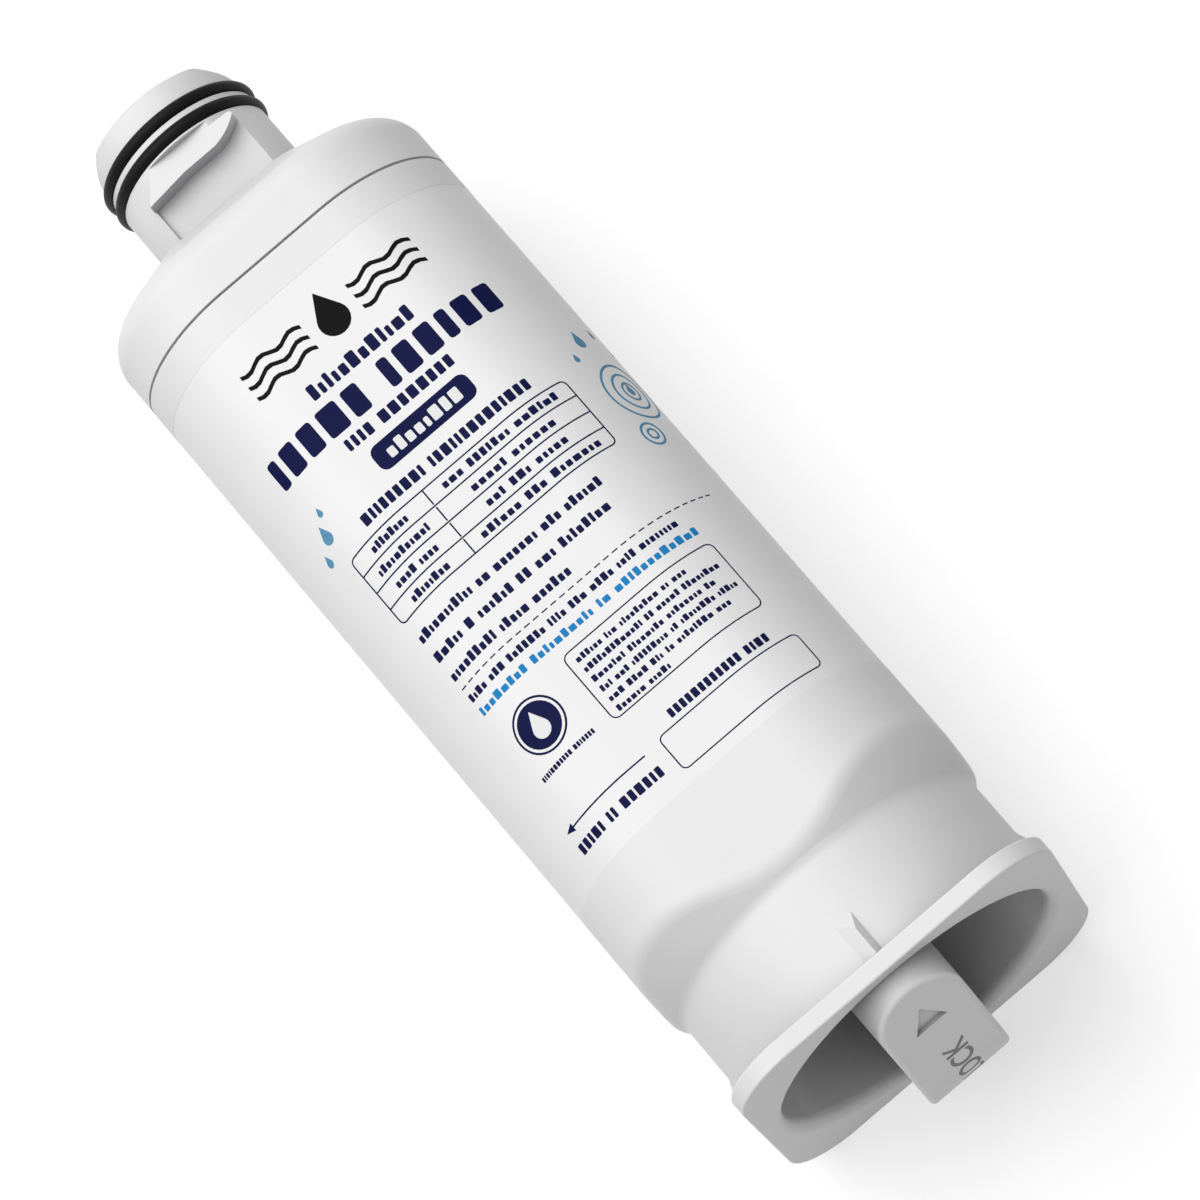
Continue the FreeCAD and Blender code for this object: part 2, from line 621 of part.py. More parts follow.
def add_locking_pockets(body):
    """On two sides of the neck: a flat under a lug, whose ledge runs level and then curves up as a cam."""
    ledge = [(-d.lug_toe_left, lug_toe), (-d.lug_ledge_left, lug_ledge),
             (d.lug_ledge_right, lug_ledge), (d.lug_end_right, lug_end)]
    foot = d.head_corner + d.crown_height
    flat = sketch_on(body, "pocket_flat", "XZ_Plane", flat_distance)
    outline(flat, [(-d.flat_left, foot), (d.flat_right, foot), (d.flat_right, lug_end),
                   ledge[2], ledge[1], (-d.flat_left, lug_toe)], {2: (d.lug_cam_radius, -1)})
    depth = d.neck_radius - flat_distance + d.overshoot
    pocket = add(body, "Pocket", "locking_flat", flat, Length=depth, Reversed=True)

    front = sketch_on(body, "lug_front", "XZ_Plane", flat_distance - d.overshoot)
    outline(front, ledge + [(d.lug_end_right, lug_top_right - lug_round),
                            (d.lug_end_right - lug_round, lug_top_right), (-d.lug_top_left, lug_top)],
            {2: (d.lug_cam_radius, 1), 4: (lug_round, 1)})
    lug = add(body, "Pad", "locking_lug", front, Length=lug_face - flat_distance + d.overshoot)

    rise = lug_top - lug_toe
    out = d.neck_radius + d.overshoot
    side = sketch_on(body, "lug_side", "YZ_Plane")
    outline(side, [(-lug_face, lug_toe), (-(lug_face - rise * tan(d.lug_rake)), lug_top),
                   (-out, lug_top), (-out, lug_toe)])
    face = add(body, "Pocket", "lug_rake_cut", side, Length=d.neck_radius * 2, SideType="Symmetric")
    repeat_round(body, "locking_sides", [pocket, lug, face], OPPOSITE_SIDES)


def cut_tip_slants(body):
    """The tip is slanted on two sides, so that its end face is a broad band."""
    out = tip_radius + d.overshoot
    drop = (out - d.tip_slant_start) * tan(d.tip_slant)
    top = d.tip_height + d.overshoot
    start = d.tip_slant_start - d.overshoot / tan(d.tip_slant)
    front = sketch_on(body, "tip_front", "XZ_Plane")
    front.AttachmentOffset = Placement(Vector(), Rotation(Vector(0, 1, 0), -d.tip_turn.value))
    front.setExpression("AttachmentOffset.Rotation.Angle", (-d.tip_turn).text)
    outline(front, [(start, top), (out, d.tip_height - drop), (out, top)])
    across = tip_radius * 2 + d.overshoot
    slant = add(body, "Pocket", "tip_slant_cut", front, Length=across, SideType="Symmetric")
    repeat_round(body, "tip_slants", [slant], OPPOSITE_SIDES)


def add_tongue(body):
    section = sketch_on(body, "tongue_section", "XY_Plane")
    rounded_square(section, d.half_width - tongue_inset, d.corner_radius - tongue_inset)
    add(body, "Pad", "tongue", section, Length=d.tongue_length, Reversed=True)


def hollow_head(body):
    """The hollow follows the wall and the crown. The outlet socket hangs in its middle."""
    lower = sketch_on(body, "hollow_section", "XY_Plane", -d.tongue_length)
    rounded_square(lower, d.half_width - head_inset, d.corner_radius - head_inset)
    add(body, "Pocket", "hollow", lower, Length=d.tongue_length + hollow_turn, Reversed=True)
    narrow(body, "SubtractiveLoft", "crown_hollow", hollow_turn, d.crown_cavity, head_inset)
    tube = sketch_on(body, "socket_section", "XY_Plane", -d.socket_drop)
    circle(tube, d.socket_radius + d.socket_wall)
    add(body, "Pad", "socket_tube", tube, Length=d.socket_drop + hollow_ceiling)


def cut_water_ways(body):
    revolve(body, "Groove", "outlet", [
        (NOTHING, -(d.socket_drop + d.overshoot)), (d.socket_radius, -(d.socket_drop + d.overshoot)),
        (d.socket_radius, d.socket_top), (d.outlet_radius, d.socket_top + d.socket_radius - d.outlet_radius),
        (d.outlet_radius, d.tip_height - d.outlet_lead_in),
        (d.outlet_radius + d.outlet_lead_in, d.tip_height),
        (d.outlet_radius + d.outlet_lead_in, d.tip_height + d.overshoot),
        (NOTHING, d.tip_height + d.overshoot)])
    slot = sketch_on(body, "inlet_section", "XY_Plane", d.tip_height)
    along, across = cos(d.inlet_spread), sin(d.inlet_spread)
    inner = (inlet_inner * along, inlet_inner * across)
    outer = (inlet_outer * along, inlet_outer * across)
    corners = [(inner[0], -inner[1]), (outer[0], -outer[1]), outer, inner]
    outline(slot, corners, {1: (inlet_outer, 1), 3: (inlet_inner, -1)})
    inlet = add(body, "Pocket", "inlet", slot, Length=d.tip_height - hollow_ceiling + d.inlet_runout)
    repeat_round(body, "inlets", [inlet], OPPOSITE_SIDES)


# Filter element: carbon block, fleece and two end caps

def make_tube(label, outer, inner, top, length):
    body = new_body(label)
    section = sketch_on(body, f"{label}_section", "XY_Plane", -top)
    circle(section, outer)
    circle(section, inner)
    add(body, "Pad", f"{label}_pad", section, Length=length, Reversed=True)
    lay_down(body)
    return body


def make_lower_end_cap():
    """A closed cup under the block, on a foot that stands in the housing's ring."""
    body = new_body("lower_end_cap")
    foot, plate = -cavity_depth, d.foot_height - cavity_depth
    revolve(body, "Revolution", "lower_cap", [
        (NOTHING, foot), (d.foot_radius, foot), (d.foot_radius, plate), (cap_radius, plate),
        (cap_radius, d.cap_rim_height - block_depth), (cap_bore, d.cap_rim_height - block_depth),
        (cap_bore, -block_depth), (NOTHING, -block_depth)])
    lay_down(body)
    return body


def make_upper_end_cap():
    """A cup over the block, with the outlet spigot and its two seal grooves."""
    body = new_body("upper_end_cap")
    under = block_length - block_depth
    groove = spigot_seal_radius - d.spigot_seal_cord - d.seal_clearance
    half = d.spigot_seal_cord / 2 + d.seal_clearance
    corners = [(d.spigot_bore, under), (cap_bore, under), (cap_bore, under - d.cap_rim_height),
               (cap_radius, under - d.cap_rim_height), (cap_radius, -plate_depth),
               (spigot_radius, -plate_depth)]
    for height in spigot_seal_heights():
        corners += [(spigot_radius, height - half), (groove, height - half), (groove, height + half),
                    (spigot_radius, height + half)]
    top = d.spigot_height - plate_depth
    corners += [(spigot_radius, top), (d.spigot_bore, top)]
    revolve(body, "Revolution", "upper_cap", corners)
    lay_down(body)
    return body


# Seals and label

def spigot_seal_heights():
    lower = d.spigot_seal_place - plate_depth
    return lower, lower + d.spigot_seal_pitch


def make_seal(label, outer, cord, height):
    ring = doc.addObject("Part::Torus", label)
    ring.Label = label
    ring.setExpression("Radius1", (outer - cord / 2).text)
    ring.setExpression("Radius2", (cord / 2).text)
    lay_down(ring, height)
    return ring


def make_label_film():
    body = new_body("label_film")
    section = sketch_on(body, "film_section", "XY_Plane", -d.label_start)
    inner = label_seat_depth - d.label_glue
    outer = inner - d.label_thickness
    rounded_square(section, d.half_width - outer, d.corner_radius - outer)
    rounded_square(section, d.half_width - inner, d.corner_radius - inner)
    add(body, "Pad", "film", section, Length=d.label_length, Reversed=True)
    lay_down(body)
    return body


def make_all():
    top = block_depth - block_length
    lower_spigot_seal, upper_spigot_seal = spigot_seal_heights()
    return [
        make_housing(),
        make_head_cap(),
        make_label_film(),
        make_seal("nozzle_seal_outer", seal_radius, d.seal_cord, seal_height),
        make_seal("nozzle_seal_inner", seal_radius, d.seal_cord, inner_seal_height),
        make_tube("carbon_block", block_radius, d.block_bore, top, block_length),
        make_tube("prefilter_fleece", fleece_radius, fleece_bore, top + d.fleece_clearance,
                  block_length - d.fleece_clearance * 2),
        make_lower_end_cap(),
        make_upper_end_cap(),
        make_seal("spigot_seal_lower", spigot_seal_radius, d.spigot_seal_cord, lower_spigot_seal),
        make_seal("spigot_seal_upper", spigot_seal_radius, d.spigot_seal_cord, upper_spigot_seal),
    ]


def write_parts(pieces):
    doc.recompute()
    failed = [item.Name for item in doc.Objects if {"Invalid", "Error"} & set(item.State)]
    if failed:
        raise RuntimeError(f"failed objects: {failed}")
    for piece in pieces:
        if piece.Shape.isNull() or not piece.Shape.isValid() or len(piece.Shape.Solids) != 1:
            raise RuntimeError(f"bad solid: {piece.Label}")
    os.makedirs("parts", exist_ok=True)
    for piece in pieces:
        piece.Shape.exportStep(f"parts/{piece.Label}.step")


write_parts(make_all())
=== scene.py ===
"""Looks of the fridge water filter cartridge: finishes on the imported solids, and its printed label."""

import math
import random

import bmesh
import bpy
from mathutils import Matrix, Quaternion, Vector


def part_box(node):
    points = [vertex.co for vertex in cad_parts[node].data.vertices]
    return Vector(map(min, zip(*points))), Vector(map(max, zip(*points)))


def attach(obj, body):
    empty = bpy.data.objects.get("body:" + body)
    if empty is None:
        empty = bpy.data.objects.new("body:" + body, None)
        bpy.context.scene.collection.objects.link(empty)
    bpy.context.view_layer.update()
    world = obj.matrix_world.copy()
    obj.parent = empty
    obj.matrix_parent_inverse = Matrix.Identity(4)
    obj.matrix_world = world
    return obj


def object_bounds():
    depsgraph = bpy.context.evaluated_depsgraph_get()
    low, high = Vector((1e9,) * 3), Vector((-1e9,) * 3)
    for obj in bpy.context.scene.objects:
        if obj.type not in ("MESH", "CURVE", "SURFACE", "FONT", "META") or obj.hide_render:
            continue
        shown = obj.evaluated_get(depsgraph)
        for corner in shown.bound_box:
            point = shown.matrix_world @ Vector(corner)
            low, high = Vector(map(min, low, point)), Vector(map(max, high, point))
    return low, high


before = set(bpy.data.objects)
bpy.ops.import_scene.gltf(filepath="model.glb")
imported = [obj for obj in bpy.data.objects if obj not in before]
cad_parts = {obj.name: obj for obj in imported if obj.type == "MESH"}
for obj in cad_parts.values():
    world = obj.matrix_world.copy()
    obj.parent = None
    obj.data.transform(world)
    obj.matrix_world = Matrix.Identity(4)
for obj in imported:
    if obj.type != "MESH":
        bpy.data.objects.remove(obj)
cad_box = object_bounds()

MM = 0.001
SEED = 7
POLYPROPYLENE_IOR = 1.49
RUBBER_IOR = 1.52
draw = random.Random(SEED)


# Finishes

def linear(code):
    """An sRGB hex colour as linear red, green, blue and alpha."""
    channels = [int(code[place:place + 2], 16) / 255 for place in (1, 3, 5)]
    return [c / 12.92 if c <= 0.04045 else ((c + 0.055) / 1.055) ** 2.4 for c in channels] + [1.0]


def node(tree, kind, inputs=None, **settings):
    """Adds a node. An input gets a plain value, or is linked to a (node, output) pair."""
    made = tree.nodes.new(kind)
    for name, value in settings.items():
        setattr(made, name, value)
    for socket, value in (inputs or {}).items():
        if isinstance(value, tuple):
            tree.links.new(value[0].outputs[value[1]], made.inputs[socket])
        else:
            made.inputs[socket].default_value = value
    return made


def finish_named(name):
    """An empty material and its node tree with an output."""
    material = bpy.data.materials.new(name)
    material.use_nodes = True
    tree = material.node_tree
    tree.nodes.clear()
    return material, tree, node(tree, "ShaderNodeOutputMaterial")


def per_size(millimetres):
    """A texture's scale for a feature of that size."""
    return 1 / (millimetres * MM)


def moulded_polypropylene():
    """White polypropylene from a spark-eroded mould: satin, with soft broad highlights.

    The mould's grain is about 0.1 mm, too fine for the render, and is drawn at 0.5 mm. Pockets, grooves
    and inner corners within 16 mm of another wall of the piece get painted shade: their colour is greyer.
    """
    melt_flow, rub_mark, mould_grain, grain_depth = 45, 6, 0.5, 0.02
    painted_shade_reach = 16
    material, tree, output = finish_named("white_polypropylene_moulded")
    place = node(tree, "ShaderNodeTexCoord")
    flow = node(tree, "ShaderNodeTexNoise",
                {"Vector": (place, "Object"), "Scale": per_size(melt_flow), "Detail": 2.0})
    white = node(tree, "ShaderNodeMix",
                 {"Factor": (flow, "Fac"), "A": linear("#E9E9EA"), "B": linear("#EDEDED")},
                 data_type="RGBA")
    # Painted shade: the colour turns towards grey where other walls of the piece are near, by ambient
    # occlusion
    painted_crevice_shade = node(tree, "ShaderNodeAmbientOcclusion", {"Distance": painted_shade_reach * MM},
                  samples=8, only_local=True)
    unshaded_share = node(tree, "ShaderNodeMapRange",
                      {"Value": (painted_crevice_shade, "AO"), "From Min": 0.25, "From Max": 0.95})
    tone = node(tree, "ShaderNodeMix",
                {"Factor": (unshaded_share, "Result"), "A": linear("#A4A4A6"), "B": (white, "Result")},
                data_type="RGBA")
    rub = node(tree, "ShaderNodeTexNoise",
               {"Vector": (place, "Object"), "Scale": per_size(rub_mark), "Detail": 3.0})
    sheen = node(tree, "ShaderNodeMapRange",
                 {"Value": (rub, "Fac"), "To Min": 0.38, "To Max": 0.47})
    grain = node(tree, "ShaderNodeTexNoise",
                 {"Vector": (place, "Object"), "Scale": per_size(mould_grain), "Detail": 2.0})
    relief = node(tree, "ShaderNodeBump",
                  {"Height": (grain, "Fac"), "Strength": 0.12, "Distance": grain_depth * MM})
    shader = node(tree, "ShaderNodeBsdfPrincipled",
                  {"Base Color": (tone, "Result"), "Roughness": (sheen, "Result"),
                   "Normal": (relief, "Normal"), "IOR": POLYPROPYLENE_IOR})
    tree.links.new(shader.outputs["BSDF"], output.inputs["Surface"])
    return material


def label_film_white():
    """White polypropylene label film, varnished: smoother than the wall, with a faint glue ripple."""
    glue_ripple, ripple_depth = 14, 0.15
    material, tree, output = finish_named("polypropylene_film_varnished")
    place = node(tree, "ShaderNodeTexCoord")
    glue = node(tree, "ShaderNodeTexNoise",
                {"Vector": (place, "Object"), "Scale": per_size(glue_ripple), "Detail": 2.0})
    relief = node(tree, "ShaderNodeBump",
                  {"Height": (glue, "Fac"), "Strength": 0.1, "Distance": ripple_depth * MM})
    tone = node(tree, "ShaderNodeMix",
                {"Factor": (glue, "Fac"), "A": linear("#EFEFEF"), "B": linear("#F2F2F2")},
                data_type="RGBA")
    sheen = node(tree, "ShaderNodeMapRange",
                 {"Value": (glue, "Fac"), "To Min": 0.32, "To Max": 0.4})
    shader = node(tree, "ShaderNodeBsdfPrincipled",
                  {"Base Color": (tone, "Result"), "Roughness": (sheen, "Result"),
                   "Normal": (relief, "Normal"), "IOR": POLYPROPYLENE_IOR})
    tree.links.new(shader.outputs["BSDF"], output.inputs["Surface"])
    return material


def printing_ink(name, deep, thin):
    """Flexographic ink under the film's varnish: its density varies a little, in patches of 0.6 mm."""
    ink_patch = 0.6
    material, tree, output = finish_named(name)
    place = node(tree, "ShaderNodeTexCoord")
    density = node(tree, "ShaderNodeTexNoise",
                   {"Vector": (place, "Object"), "Scale": per_size(ink_patch), "Detail": 3.0})
    tone = node(tree, "ShaderNodeMix",
                {"Factor": (density, "Fac"), "A": linear(deep), "B": linear(thin)}, data_type="RGBA")
    sheen = node(tree, "ShaderNodeMapRange",
                 {"Value": (density, "Fac"), "To Min": 0.42, "To Max": 0.52})
    shader = node(tree, "ShaderNodeBsdfPrincipled",
                  {"Base Color": (tone, "Result"), "Roughness": (sheen, "Result"), "IOR": POLYPROPYLENE_IOR,
                   "Specular IOR Level": 0.06})
    tree.links.new(shader.outputs["BSDF"], output.inputs["Surface"])
    return material


def greased_rubber():
    """Black EPDM rubber, moulded and lightly greased: near black with a smeared soft gloss."""
    smear_size, smear_depth = 2.5, 0.03
    material, tree, output = finish_named("epdm_rubber_greased")
    place = node(tree, "ShaderNodeTexCoord")
    smear = node(tree, "ShaderNodeTexNoise",
                 {"Vector": (place, "Object"), "Scale": per_size(smear_size), "Detail": 4.0})
    sheen = node(tree, "ShaderNodeMapRange",
                 {"Value": (smear, "Fac"), "To Min": 0.34, "To Max": 0.56})
    tone = node(tree, "ShaderNodeMix",
                {"Factor": (smear, "Fac"), "A": linear("#0B0B0C"), "B": linear("#121213")},
                data_type="RGBA")
    relief = node(tree, "ShaderNodeBump",
                  {"Height": (smear, "Fac"), "Strength": 0.15, "Distance": smear_depth * MM})
    shader = node(tree, "ShaderNodeBsdfPrincipled",
                  {"Base Color": (tone, "Result"), "Roughness": (sheen, "Result"),
                   "Normal": (relief, "Normal"), "IOR": RUBBER_IOR, "Specular IOR Level": 0.12})
    tree.links.new(shader.outputs["BSDF"], output.inputs["Surface"])
    return material


def pressed_carbon():
    """Activated carbon pressed with a binder: matt black with grey grit of 0.4 mm, drawn at 0.8 mm."""
    grit_size, grit_depth = 0.8, 0.2
    material, tree, output = finish_named("activated_carbon_pressed")
    place = node(tree, "ShaderNodeTexCoord")
    grit = node(tree, "ShaderNodeTexVoronoi", {"Vector": (place, "Object"), "Scale": per_size(grit_size)})
    tone = node(tree, "ShaderNodeMix",
                {"Factor": (grit, "Distance"), "A": linear("#161616"), "B": linear("#333435")},
                data_type="RGBA")
    relief = node(tree, "ShaderNodeBump",
                  {"Height": (grit, "Distance"), "Strength": 0.6, "Distance": grit_depth * MM})
    shader = node(tree, "ShaderNodeBsdfPrincipled",
                  {"Base Color": (tone, "Result"), "Normal": (relief, "Normal"), "Roughness": 0.92})
    tree.links.new(shader.outputs["BSDF"], output.inputs["Surface"])
    return material


def needled_fleece():
    """Non-woven polypropylene fleece: dull white with a tangle of fibres, drawn 0.7 mm wide to show."""
    fibre_width, fibre_depth = 0.7, 0.25
    material, tree, output = finish_named("polypropylene_fleece_needled")
    place = node(tree, "ShaderNodeTexCoord")
    tangle = node(tree, "ShaderNodeTexNoise",
                  {"Vector": (place, "Object"), "Scale": per_size(fibre_width), "Detail": 5.0,
                   "Distortion": 2.5})
    tone = node(tree, "ShaderNodeMix",
                {"Factor": (tangle, "Fac"), "A": linear("#D9D8D2"), "B": linear("#F0EFEA")},
                data_type="RGBA")
    relief = node(tree, "ShaderNodeBump",
                  {"Height": (tangle, "Fac"), "Strength": 0.7, "Distance": fibre_depth * MM})
    shader = node(tree, "ShaderNodeBsdfPrincipled",
                  {"Base Color": (tone, "Result"), "Normal": (relief, "Normal"), "Roughness": 0.95,
                   "Sheen Weight": 0.25})
    tree.links.new(shader.outputs["BSDF"], output.inputs["Surface"])
    return material


def uncoloured_polypropylene():
    """Polypropylene with no pigment: milky, with a faint cloudiness and satin gloss."""
    cloud_size, light_reach = 9, 1.5
    material, tree, output = finish_named("natural_polypropylene_moulded")
    place = node(tree, "ShaderNodeTexCoord")
    cloud = node(tree, "ShaderNodeTexNoise",
                 {"Vector": (place, "Object"), "Scale": per_size(cloud_size), "Detail": 3.0})
    tone = node(tree, "ShaderNodeMix",
                {"Factor": (cloud, "Fac"), "A": linear("#DAD9D3"), "B": linear("#E7E6E1")},
                data_type="RGBA")
    sheen = node(tree, "ShaderNodeMapRange",
                 {"Value": (cloud, "Fac"), "To Min": 0.33, "To Max": 0.42})
    shader = node(tree, "ShaderNodeBsdfPrincipled",
                  {"Base Color": (tone, "Result"), "Roughness": (sheen, "Result"), "IOR": POLYPROPYLENE_IOR,
                   "Subsurface Weight": 0.2, "Subsurface Scale": light_reach * MM})
    tree.links.new(shader.outputs["BSDF"], output.inputs["Surface"])
    return material


white_wall = moulded_polypropylene()
rubber = greased_rubber()
milky = uncoloured_polypropylene()
NODE_FINISHES = {
    "housing": white_wall,
    "head_cap": white_wall,
    "label_film": label_film_white(),
    "nozzle_seal_outer": rubber,
    "nozzle_seal_inner": rubber,
    "carbon_block": pressed_carbon(),
    "prefilter_fleece": needled_fleece(),
    "lower_end_cap": milky,
    "upper_end_cap": milky,
    "spigot_seal_lower": rubber,
    "spigot_seal_upper": rubber,
}
for name, material in NODE_FINISHES.items():
    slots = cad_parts[name].data.materials
    slots.clear()
    slots.append(material)


# The label's print, drawn flat and wrapped round the film

film_low, film_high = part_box("label_film")
# The round of the film's corners, as the solid has it
FILM_CORNER = 21.96
film_half = (film_high.x - film_low.x) / 2 / MM
film_flat = film_half - FILM_CORNER
film_top = film_high.y / MM
axis_height = (film_low.z + film_high.z) / 2 / MM
# The ink reaches a little into the film, so that no gap shows, and stands a little over it
INK_SINK = 0.02
INK_RISE = 0.012
LAYER_RISE = 0.008
BEND_STEP = 1.2
CUT_SNAP = 0.02
MERGE_REACH = 0.001
# A row's blocks: widths, gap and word space in shares of a block, corner and low height of the row's height
BLOCK_WIDTHS = (0.75, 1.0, 1.0, 1.2)
BLOCK_GAP = 0.28
WORD_SPACE = 0.7
BLOCK_CORNER = 0.1
BLOCK_STEPS = 2
LOW_BLOCK = 0.72
TALL_SHARE = 0.35


def on_film(across, down, lift):
    """The place in metres of a point of the flat label, lifted off the film.

    Points of the flat label are millimetres across from its middle and down from its top edge.
    """
    beyond = abs(across) - film_flat
    x, z = abs(across), film_half + lift
    if beyond > 0:
        turn = beyond / FILM_CORNER
        x = film_flat + (FILM_CORNER + lift) * math.sin(turn)
        z = film_flat + (FILM_CORNER + lift) * math.cos(turn)
    return Vector((math.copysign(x, across), film_top - down, axis_height + z)) * MM


def cut_across(flat, places):
    """Cuts a flat drawing across at those places, so that it can bend there."""
    for place in places:
        bmesh.ops.bisect_plane(flat, geom=flat.verts[:] + flat.edges[:] + flat.faces[:], dist=CUT_SNAP,
                               plane_co=(place, 0, 0), plane_no=(1, 0, 0))


def lay_drawing(name, flat, place, finish):
    """Makes a flat drawing a piece of its own: a thin closed layer, laid where place(x, y, raised) says."""
    thick = bmesh.ops.extrude_face_region(flat, geom=flat.faces[:], use_keep_orig=True)
    # The raised side is marked by its height until the drawing is laid
    for corner in (made for made in thick["geom"] if isinstance(made, bmesh.types.BMVert)):
        corner.co.z = 1
    bmesh.ops.recalc_face_normals(flat, faces=flat.faces[:])
    for corner in flat.verts:
        corner.co = place(corner.co.x, corner.co.y, corner.co.z > 0)
    # Laying a drawing mirrors it, so its faces are turned to look outwards again
    bmesh.ops.reverse_faces(flat, faces=flat.faces[:])
    mesh = bpy.data.meshes.new(name)
    flat.to_mesh(mesh)
    flat.free()
    mesh.materials.append(finish)
    piece = bpy.data.objects.new(name, mesh)
    bpy.context.scene.collection.objects.link(piece)
    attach(piece, "root")


def print_ink(name, outlines, ink, layer=0):
    """Each outline of the flat label as a thin layer of ink on the film."""
    sheet = bmesh.new()
    for outline in outlines:
        sheet.faces.new([sheet.verts.new((across, down, 0)) for across, down in outline])
    bmesh.ops.remove_doubles(sheet, verts=sheet.verts[:], dist=MERGE_REACH)
    reach = max(abs(corner.co.x) for corner in sheet.verts)
    bends = [film_flat + step * BEND_STEP for step in range(math.ceil((reach - film_flat) / BEND_STEP))]
    cut_across(sheet, [side * bend for side in (-1, 1) for bend in bends])

    def on_label(across, down, raised):
        return on_film(across, down, INK_RISE + layer * LAYER_RISE if raised else -INK_SINK)

    lay_drawing(name, sheet, on_label, ink)


def bar(left, top, right, bottom):
    """A bar with sharp corners."""
    return [(left, top), (right, top), (right, bottom), (left, bottom)]


def arc(centre, radius, start, end, steps):
    """Points round a centre, with the angles in degrees."""
    angles = [math.radians(start + (end - start) * step / steps) for step in range(steps + 1)]
    return [(centre[0] + radius * math.cos(a), centre[1] + radius * math.sin(a)) for a in angles]


def rounded_bar(left, top, right, bottom, radius, steps=4):
    """A bar with its four corners rounded."""
    corners = [((right - radius, bottom - radius), 0), ((left + radius, bottom - radius), 90),
               ((left + radius, top + radius), 180), ((right - radius, top + radius), 270)]
    return [point for centre, start in corners for point in arc(centre, radius, start, start + 90, steps)]


def stroke(outer, inner):
    """The strip between two closed outlines with as many points, one outline for each stretch."""
    count = len(outer)
    return [[outer[i], outer[(i + 1) % count], inner[(i + 1) % count], inner[i]] for i in range(count)]


def frame_stroke(left, top, right, bottom, radius, width):
    """The line round a box with rounded corners."""
    return stroke(rounded_bar(left, top, right, bottom, radius),
                  rounded_bar(left + width, top + width, right - width, bottom - width, radius - width))


def drop(centre, radius, tail, steps=14):
    """A falling drop: most of a circle, closed by two tangents that meet above it."""
    lean = math.degrees(math.acos(radius / tail))
    return arc(centre, radius, -90 + lean, 270 - lean, steps) + [(centre[0], centre[1] - tail)]


def ring(centre, radius, width, steps=36):
    """A round line of even width."""
    return stroke(arc(centre, radius, 0, 360, steps)[:-1], arc(centre, radius - width, 0, 360, steps)[:-1])


def wave(left, right, middle, height, length, width, steps=6):
    """A wavy line of even width, as one outline for each short stretch."""
    count = round((right - left) / length * steps)
    places = [left + (right - left) * i / count for i in range(count + 1)]
    rise = [middle + height * math.sin(math.tau * (p - left) / length) for p in places]
    return [[(places[i], rise[i] - width / 2), (places[i + 1], rise[i + 1] - width / 2),
             (places[i + 1], rise[i + 1] + width / 2), (places[i], rise[i] + width / 2)]
            for i in range(count)]


def type_row(left, right, middle, height, words, capitals=False):
    """A row of plain blocks, grouped as words of so many blocks, in the place of a printed line.

    Each line below is kept as the left and right end, the middle, the blocks' height and the words.
    """
    cells = []
    for count in words:
        if cells:
            cells.append((WORD_SPACE, 0.0))
        for _letter in range(count):
            low = not capitals and draw.random() > TALL_SHARE
            cells.append((draw.choice(BLOCK_WIDTHS), LOW_BLOCK if low else 1.0))
    unit = (right - left) / (sum(width for width, _tall in cells) - BLOCK_GAP)
    foot = middle + height / 2
    blocks, place = [], left
    for width, tall in cells:
        if tall:
            blocks.append(rounded_bar(place, foot - height * tall, place + (width - BLOCK_GAP) * unit, foot,
                                      height * BLOCK_CORNER, BLOCK_STEPS))
        place += width * unit
    return blocks


navy_ink = printing_ink("navy_ink_flexo", "#0C1240", "#141A4A")
black_ink = printing_ink("black_ink_flexo", "#070708", "#0F0F10")
blue_ink = printing_ink("blue_ink_flexo", "#1A7FC2", "#2A8ECC")
water_ink = printing_ink("water_blue_ink_flexo", "#3E7FA8", "#78AECB")
white_ink = printing_ink("white_ink_flexo", "#EDEDEE", "#F2F2F2")

# Emblem over the title: a drop between wavy lines
EMBLEM_MIDDLE = 9.2
EMBLEM_DROP, EMBLEM_DROP_RADIUS, EMBLEM_DROP_TAIL = (0.9, 10.3), 3.0, 6.2
WAVE_RISES = (-2.0, 0.4, 2.8)
WAVE_SPANS = ((-17.7, -4.2), (6.0, 19.6))
WAVE_HEIGHT, WAVE_LENGTH, WAVE_LINE = 0.55, 6.6, 0.85
emblem = [drop(EMBLEM_DROP, EMBLEM_DROP_RADIUS, EMBLEM_DROP_TAIL)]
for rise in WAVE_RISES:
    for left, right in WAVE_SPANS:
        emblem += wave(left, right, EMBLEM_MIDDLE + rise, WAVE_HEIGHT, WAVE_LENGTH, WAVE_LINE)
print_ink("print_emblem", emblem, black_ink)

# Title, its small lines and the pill under them
UPPER_LINE = (-10.5, 11.5, 17.9, 3.0, [12])
TITLE_LINE = (-25.0, 25.1, 23.95, 5.7, [5, 6])
LOWER_LINE = (-11.4, 11.5, 29.35, 2.3, [4, 8])
PILL_LINE = (-6.8, 8.9, 34.85, 2.6, [8])
PILL_BOX, PILL_CORNER = (-9.4, 32.3, 11.5, 37.4), 1.6
title = type_row(*UPPER_LINE)
title += type_row(*TITLE_LINE, capitals=True)
title += type_row(*LOWER_LINE, capitals=True)
title.append(rounded_bar(*PILL_BOX, PILL_CORNER))
print_ink("print_title", title, navy_ink)
print_ink("print_pill_words", type_row(*PILL_LINE), white_ink, layer=1)

